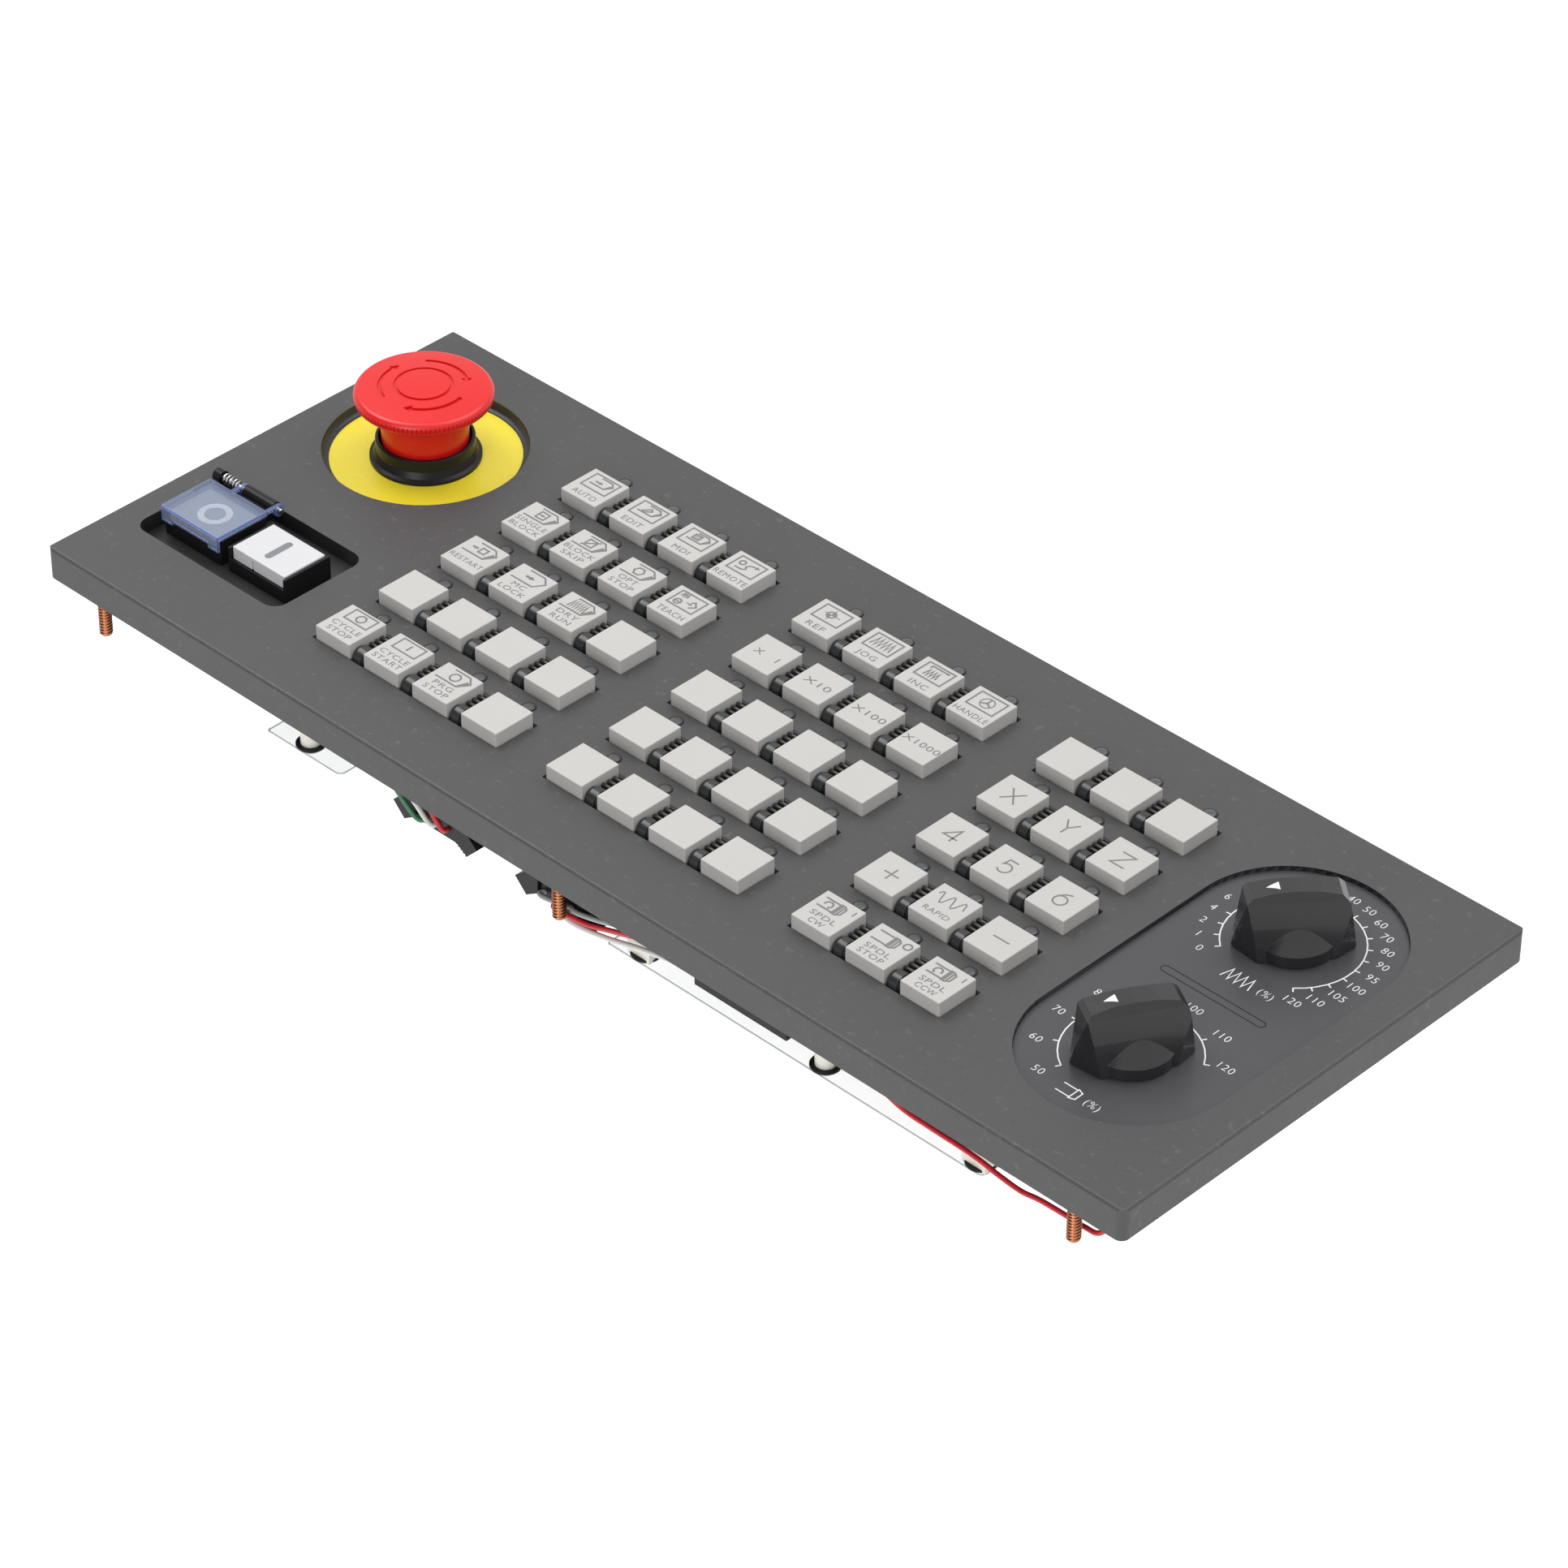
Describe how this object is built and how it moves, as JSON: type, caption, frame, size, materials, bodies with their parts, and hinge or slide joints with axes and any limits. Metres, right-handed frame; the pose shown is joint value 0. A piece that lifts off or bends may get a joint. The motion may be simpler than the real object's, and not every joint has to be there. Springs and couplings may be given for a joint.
{
  "type": "machine operator panel",
  "caption": "Wide flat machine control panel with red emergency-stop mushroom, guarded power switches, rows of pale square keys with lamps and two rotary override dials",
  "frame": {"origin": "Centre of the rear rim plane, which is the centre of the mounting studs; the rim sits on z = 0 and the face is at z = +10 mm", "axes": "+X left to right for the operator, +Y up the panel from the lowest key row to the highest, +Z out of the face towards the operator"},
  "size_m": [0.4, 0.155, 0.0694],
  "materials": {
    "panel_plastic": "fine grained, matt",
    "plate_film": "smooth, semi gloss",
    "black_plastic": "satin",
    "lamp_plastic": "smooth smoked lens",
    "board_laminate": "solder-mask green",
    "nylon": "natural",
    "copper_plate": "copper plated thread",
    "clear_plastic": "clear, polished edges",
    "wire_jacket": "smooth jackets in white, green and red",
    "yellow_plate": "gloss",
    "switch_plastic": "satin",
    "steel": "plated",
    "red_plastic": "semi gloss",
    "white_lens": "smooth",
    "grey_lens": "smooth",
    "guard_plastic": "clear, faint blue edges",
    "knob_plastic": "satin",
    "key_plastic": "fine satin"
  },
  "bodies": {
    "panel": {"front_panel": "panel_plastic", "dial_plate": "plate_film", "key_guides": "black_plastic", "lamp_windows": "lamp_plastic", "key_board": "board_laminate", "key_switches": "black_plastic", "nylon_spacers": "nylon", "mounting_studs": "copper_plate", "rear_covers": "clear_plastic", "ribbon_headers": "black_plastic", "signal_wires": "wire_jacket", "stop_ground_plate": "yellow_plate", "stop_collar": "black_plastic", "stop_contact_block": "switch_plastic", "power_housings": "black_plastic", "guard_hinge_pin": "steel", "guard_spring": "steel", "rotary_switches": "switch_plastic"},
    "stop_plunger": {"stop_plunger": "nylon"},
    "stop_head": {"stop_head": "red_plastic"},
    "on_button": {"on_button": "white_lens"},
    "off_button": {"off_button": "grey_lens"},
    "off_guard": {"off_guard": "guard_plastic"},
    "feed_knob": {"feed_knob": "knob_plastic"},
    "spindle_knob": {"spindle_knob": "knob_plastic"},
    "spare_keys": {"spare_keys": "key_plastic"},
    "key_auto": {"key_auto": "key_plastic"},
    "key_edit": {"key_edit": "key_plastic"},
    "key_mdi": {"key_mdi": "key_plastic"},
    "key_remote": {"key_remote": "key_plastic"},
    "key_single_block": {"key_single_block": "key_plastic"},
    "key_block_skip": {"key_block_skip": "key_plastic"},
    "key_optional_stop": {"key_optional_stop": "key_plastic"},
    "key_teach": {"key_teach": "key_plastic"},
    "key_restart": {"key_restart": "key_plastic"},
    "key_machine_lock": {"key_machine_lock": "key_plastic"},
    "key_dry_run": {"key_dry_run": "key_plastic"},
    "key_cycle_stop": {"key_cycle_stop": "key_plastic"},
    "key_cycle_start": {"key_cycle_start": "key_plastic"},
    "key_program_stop": {"key_program_stop": "key_plastic"},
    "key_reference": {"key_reference": "key_plastic"},
    "key_jog": {"key_jog": "key_plastic"},
    "key_increment": {"key_increment": "key_plastic"},
    "key_handle": {"key_handle": "key_plastic"},
    "key_step_1": {"key_step_1": "key_plastic"},
    "key_step_10": {"key_step_10": "key_plastic"},
    "key_step_100": {"key_step_100": "key_plastic"},
    "key_step_1000": {"key_step_1000": "key_plastic"},
    "key_axis_x": {"key_axis_x": "key_plastic"},
    "key_axis_y": {"key_axis_y": "key_plastic"},
    "key_axis_z": {"key_axis_z": "key_plastic"},
    "key_axis_4": {"key_axis_4": "key_plastic"},
    "key_axis_5": {"key_axis_5": "key_plastic"},
    "key_axis_6": {"key_axis_6": "key_plastic"},
    "key_plus": {"key_plus": "key_plastic"},
    "key_rapid": {"key_rapid": "key_plastic"},
    "key_minus": {"key_minus": "key_plastic"},
    "key_spindle_cw": {"key_spindle_cw": "key_plastic"},
    "key_spindle_stop": {"key_spindle_stop": "key_plastic"},
    "key_spindle_ccw": {"key_spindle_ccw": "key_plastic"}
  },
  "joints": [
    {"name": "stop_press", "type": "slide", "parent": "panel", "child": "stop_plunger", "axis": [0, 0, -1], "range_m": [0, 0.0045], "stiffness_N_per_m": 800, "springref_m": -0.004},
    {"name": "stop_turn", "type": "hinge", "parent": "stop_plunger", "child": "stop_head", "pos_m": [-0.16135, 0.0304, 0.02], "axis": [0, 0, -1], "range_deg": [0, 45], "stiffness_Nm_per_rad": 0.05, "springref_deg": -5.73},
    {"name": "on_button_press", "type": "slide", "parent": "panel", "child": "on_button", "axis": [0, 0, -1], "range_m": [0, 0.003], "stiffness_N_per_m": 300, "springref_m": -0.002},
    {"name": "off_button_press", "type": "slide", "parent": "panel", "child": "off_button", "axis": [0, 0, -1], "range_m": [0, 0.003], "stiffness_N_per_m": 300, "springref_m": -0.002},
    {"name": "guard_lift", "type": "hinge", "parent": "panel", "child": "off_guard", "pos_m": [-0.1752, -0.0229, 0.0126], "axis": [-1, 0, 0], "range_deg": [0, 100], "stiffness_Nm_per_rad": 0.005, "springref_deg": -17.19},
    {"name": "feed_turn", "type": "hinge", "parent": "panel", "child": "feed_knob", "pos_m": [0.16, 0.0327, 0.01], "axis": [0, 0, -1], "range_deg": [0, 280]},
    {"name": "spindle_turn", "type": "hinge", "parent": "panel", "child": "spindle_knob", "pos_m": [0.16, -0.0296, 0.01], "axis": [0, 0, -1], "range_deg": [0, 210]},
    {"name": "spare_keys_press", "type": "slide", "parent": "panel", "child": "spare_keys", "axis": [0, 0, -1], "range_m": [0, 0.0015], "stiffness_N_per_m": 4000, "springref_m": -0.001},
    {"name": "auto_press", "type": "slide", "parent": "panel", "child": "key_auto", "axis": [0, 0, -1], "range_m": [0, 0.0015], "stiffness_N_per_m": 300, "springref_m": -0.001},
    {"name": "edit_press", "type": "slide", "parent": "panel", "child": "key_edit", "axis": [0, 0, -1], "range_m": [0, 0.0015], "stiffness_N_per_m": 300, "springref_m": -0.001},
    {"name": "mdi_press", "type": "slide", "parent": "panel", "child": "key_mdi", "axis": [0, 0, -1], "range_m": [0, 0.0015], "stiffness_N_per_m": 300, "springref_m": -0.001},
    {"name": "remote_press", "type": "slide", "parent": "panel", "child": "key_remote", "axis": [0, 0, -1], "range_m": [0, 0.0015], "stiffness_N_per_m": 300, "springref_m": -0.001},
    {"name": "single_block_press", "type": "slide", "parent": "panel", "child": "key_single_block", "axis": [0, 0, -1], "range_m": [0, 0.0015], "stiffness_N_per_m": 300, "springref_m": -0.001},
    {"name": "block_skip_press", "type": "slide", "parent": "panel", "child": "key_block_skip", "axis": [0, 0, -1], "range_m": [0, 0.0015], "stiffness_N_per_m": 300, "springref_m": -0.001},
    {"name": "optional_stop_press", "type": "slide", "parent": "panel", "child": "key_optional_stop", "axis": [0, 0, -1], "range_m": [0, 0.0015], "stiffness_N_per_m": 300, "springref_m": -0.001},
    {"name": "teach_press", "type": "slide", "parent": "panel", "child": "key_teach", "axis": [0, 0, -1], "range_m": [0, 0.0015], "stiffness_N_per_m": 300, "springref_m": -0.001},
    {"name": "restart_press", "type": "slide", "parent": "panel", "child": "key_restart", "axis": [0, 0, -1], "range_m": [0, 0.0015], "stiffness_N_per_m": 300, "springref_m": -0.001},
    {"name": "machine_lock_press", "type": "slide", "parent": "panel", "child": "key_machine_lock", "axis": [0, 0, -1], "range_m": [0, 0.0015], "stiffness_N_per_m": 300, "springref_m": -0.001},
    {"name": "dry_run_press", "type": "slide", "parent": "panel", "child": "key_dry_run", "axis": [0, 0, -1], "range_m": [0, 0.0015], "stiffness_N_per_m": 300, "springref_m": -0.001},
    {"name": "cycle_stop_press", "type": "slide", "parent": "panel", "child": "key_cycle_stop", "axis": [0, 0, -1], "range_m": [0, 0.0015], "stiffness_N_per_m": 300, "springref_m": -0.001},
    {"name": "cycle_start_press", "type": "slide", "parent": "panel", "child": "key_cycle_start", "axis": [0, 0, -1], "range_m": [0, 0.0015], "stiffness_N_per_m": 300, "springref_m": -0.001},
    {"name": "program_stop_press", "type": "slide", "parent": "panel", "child": "key_program_stop", "axis": [0, 0, -1], "range_m": [0, 0.0015], "stiffness_N_per_m": 300, "springref_m": -0.001},
    {"name": "reference_press", "type": "slide", "parent": "panel", "child": "key_reference", "axis": [0, 0, -1], "range_m": [0, 0.0015], "stiffness_N_per_m": 300, "springref_m": -0.001},
    {"name": "jog_press", "type": "slide", "parent": "panel", "child": "key_jog", "axis": [0, 0, -1], "range_m": [0, 0.0015], "stiffness_N_per_m": 300, "springref_m": -0.001},
    {"name": "increment_press", "type": "slide", "parent": "panel", "child": "key_increment", "axis": [0, 0, -1], "range_m": [0, 0.0015], "stiffness_N_per_m": 300, "springref_m": -0.001},
    {"name": "handle_press", "type": "slide", "parent": "panel", "child": "key_handle", "axis": [0, 0, -1], "range_m": [0, 0.0015], "stiffness_N_per_m": 300, "springref_m": -0.001},
    {"name": "step_1_press", "type": "slide", "parent": "panel", "child": "key_step_1", "axis": [0, 0, -1], "range_m": [0, 0.0015], "stiffness_N_per_m": 300, "springref_m": -0.001},
    {"name": "step_10_press", "type": "slide", "parent": "panel", "child": "key_step_10", "axis": [0, 0, -1], "range_m": [0, 0.0015], "stiffness_N_per_m": 300, "springref_m": -0.001},
    {"name": "step_100_press", "type": "slide", "parent": "panel", "child": "key_step_100", "axis": [0, 0, -1], "range_m": [0, 0.0015], "stiffness_N_per_m": 300, "springref_m": -0.001},
    {"name": "step_1000_press", "type": "slide", "parent": "panel", "child": "key_step_1000", "axis": [0, 0, -1], "range_m": [0, 0.0015], "stiffness_N_per_m": 300, "springref_m": -0.001},
    {"name": "axis_x_press", "type": "slide", "parent": "panel", "child": "key_axis_x", "axis": [0, 0, -1], "range_m": [0, 0.0015], "stiffness_N_per_m": 300, "springref_m": -0.001},
    {"name": "axis_y_press", "type": "slide", "parent": "panel", "child": "key_axis_y", "axis": [0, 0, -1], "range_m": [0, 0.0015], "stiffness_N_per_m": 300, "springref_m": -0.001},
    {"name": "axis_z_press", "type": "slide", "parent": "panel", "child": "key_axis_z", "axis": [0, 0, -1], "range_m": [0, 0.0015], "stiffness_N_per_m": 300, "springref_m": -0.001},
    {"name": "axis_4_press", "type": "slide", "parent": "panel", "child": "key_axis_4", "axis": [0, 0, -1], "range_m": [0, 0.0015], "stiffness_N_per_m": 300, "springref_m": -0.001},
    {"name": "axis_5_press", "type": "slide", "parent": "panel", "child": "key_axis_5", "axis": [0, 0, -1], "range_m": [0, 0.0015], "stiffness_N_per_m": 300, "springref_m": -0.001},
    {"name": "axis_6_press", "type": "slide", "parent": "panel", "child": "key_axis_6", "axis": [0, 0, -1], "range_m": [0, 0.0015], "stiffness_N_per_m": 300, "springref_m": -0.001},
    {"name": "plus_press", "type": "slide", "parent": "panel", "child": "key_plus", "axis": [0, 0, -1], "range_m": [0, 0.0015], "stiffness_N_per_m": 300, "springref_m": -0.001},
    {"name": "rapid_press", "type": "slide", "parent": "panel", "child": "key_rapid", "axis": [0, 0, -1], "range_m": [0, 0.0015], "stiffness_N_per_m": 300, "springref_m": -0.001},
    {"name": "minus_press", "type": "slide", "parent": "panel", "child": "key_minus", "axis": [0, 0, -1], "range_m": [0, 0.0015], "stiffness_N_per_m": 300, "springref_m": -0.001},
    {"name": "spindle_cw_press", "type": "slide", "parent": "panel", "child": "key_spindle_cw", "axis": [0, 0, -1], "range_m": [0, 0.0015], "stiffness_N_per_m": 300, "springref_m": -0.001},
    {"name": "spindle_stop_press", "type": "slide", "parent": "panel", "child": "key_spindle_stop", "axis": [0, 0, -1], "range_m": [0, 0.0015], "stiffness_N_per_m": 300, "springref_m": -0.001},
    {"name": "spindle_ccw_press", "type": "slide", "parent": "panel", "child": "key_spindle_ccw", "axis": [0, 0, -1], "range_m": [0, 0.0015], "stiffness_N_per_m": 300, "springref_m": -0.001}
  ]
}
